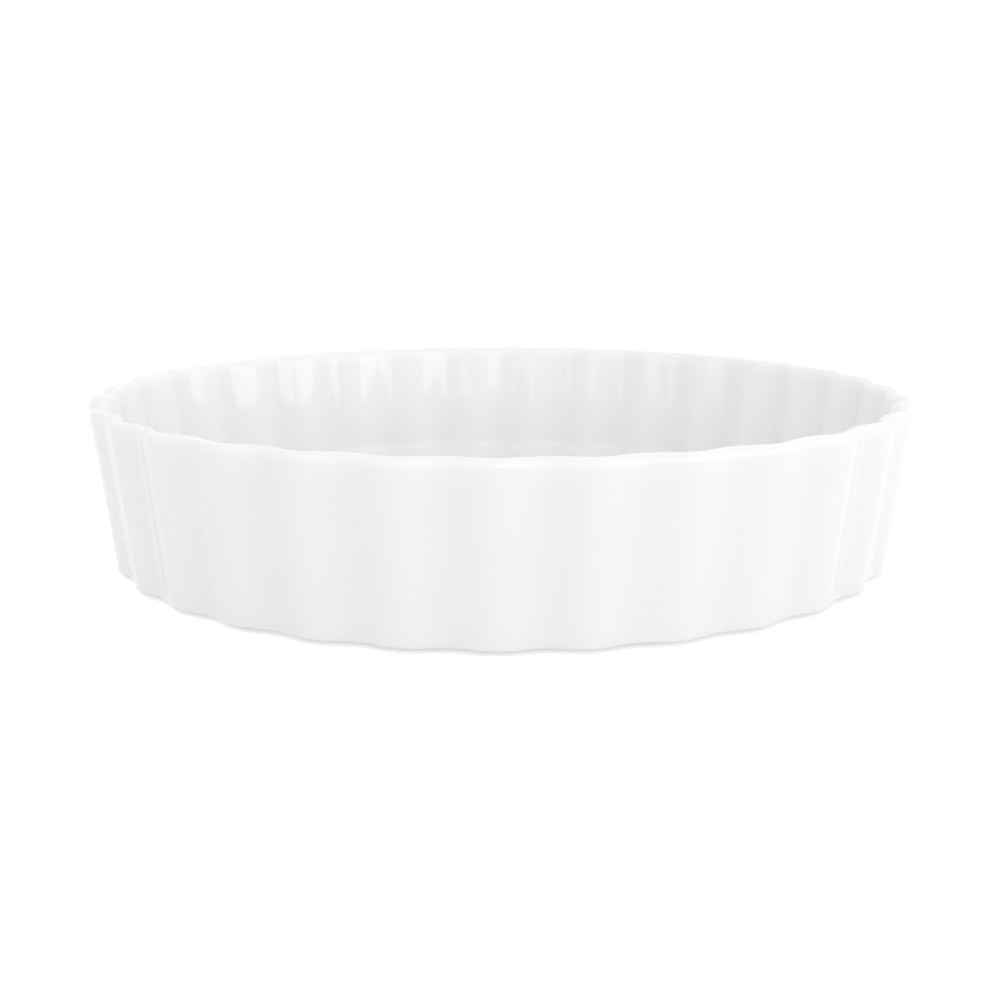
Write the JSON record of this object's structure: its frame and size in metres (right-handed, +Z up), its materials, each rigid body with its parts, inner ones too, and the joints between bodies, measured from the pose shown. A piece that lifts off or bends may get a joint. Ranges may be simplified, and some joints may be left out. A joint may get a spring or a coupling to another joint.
{
  "type": "quiche dish",
  "caption": "Round shallow baking dish in white glazed porcelain, with a fluted wall that leans outward, a rounded lip, a flat floor and a low foot ring.",
  "frame": {"origin": "centre of the foot ring, at the level of the table that the dish stands on", "axes": "+Z up, out of the open mouth of the dish; one flute crest faces -Y and one faces +X"},
  "size_m": [0.254, 0.254, 0.05],
  "materials": {
    "glazed_porcelain": "clear high gloss glaze all over, apart from the bare, matt face of the foot ring"
  },
  "bodies": {
    "root": {"dish": "glazed_porcelain"}
  },
  "joints": []
}
